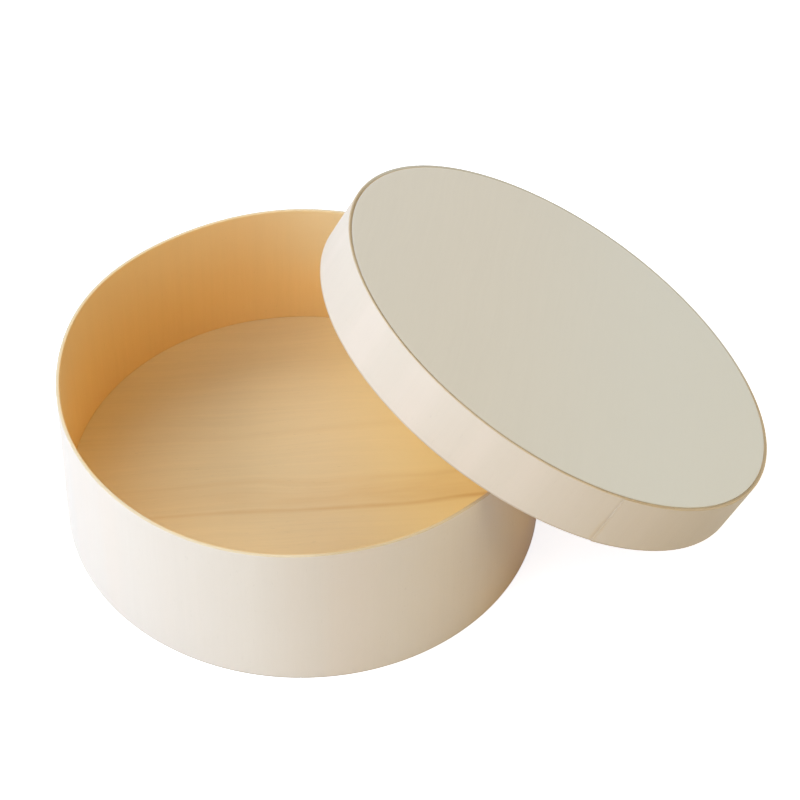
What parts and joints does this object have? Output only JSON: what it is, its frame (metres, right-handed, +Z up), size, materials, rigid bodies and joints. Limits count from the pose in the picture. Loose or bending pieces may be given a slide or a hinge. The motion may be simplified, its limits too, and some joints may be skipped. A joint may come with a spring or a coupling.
{
  "type": "cheese box",
  "caption": "Round bent-veneer wooden box with a bottom board, and a slip-over lid that leans on its rim with the opening towards the box.",
  "frame": {"origin": "centre of the box's lower edge, on the surface it stands on", "axes": "+Z up, along the box's axis; +X from the box's axis towards the side the lid leans down to"},
  "size_m": [0.2996, 0.2049, 0.1221],
  "materials": {
    "base_veneer": "bare peeled veneer, grain across the band, matte",
    "bottom_board": "bare board with fine straight grain, matte",
    "lid_veneer": "bare peeled veneer, grain across the band, matte",
    "lid_board": "bare pale board, faint figure, matte"
  },
  "bodies": {
    "box": {"base_hoop": "base_veneer", "base_bottom": "bottom_board"},
    "lid": {"lid_hoop": "lid_veneer", "lid_top": "lid_board"}
  },
  "joints": [
    {"name": "lid_lift", "type": "slide", "parent": "box", "child": "lid", "axis": [0, 0, 1], "range_m": [0, 0.085]}
  ]
}
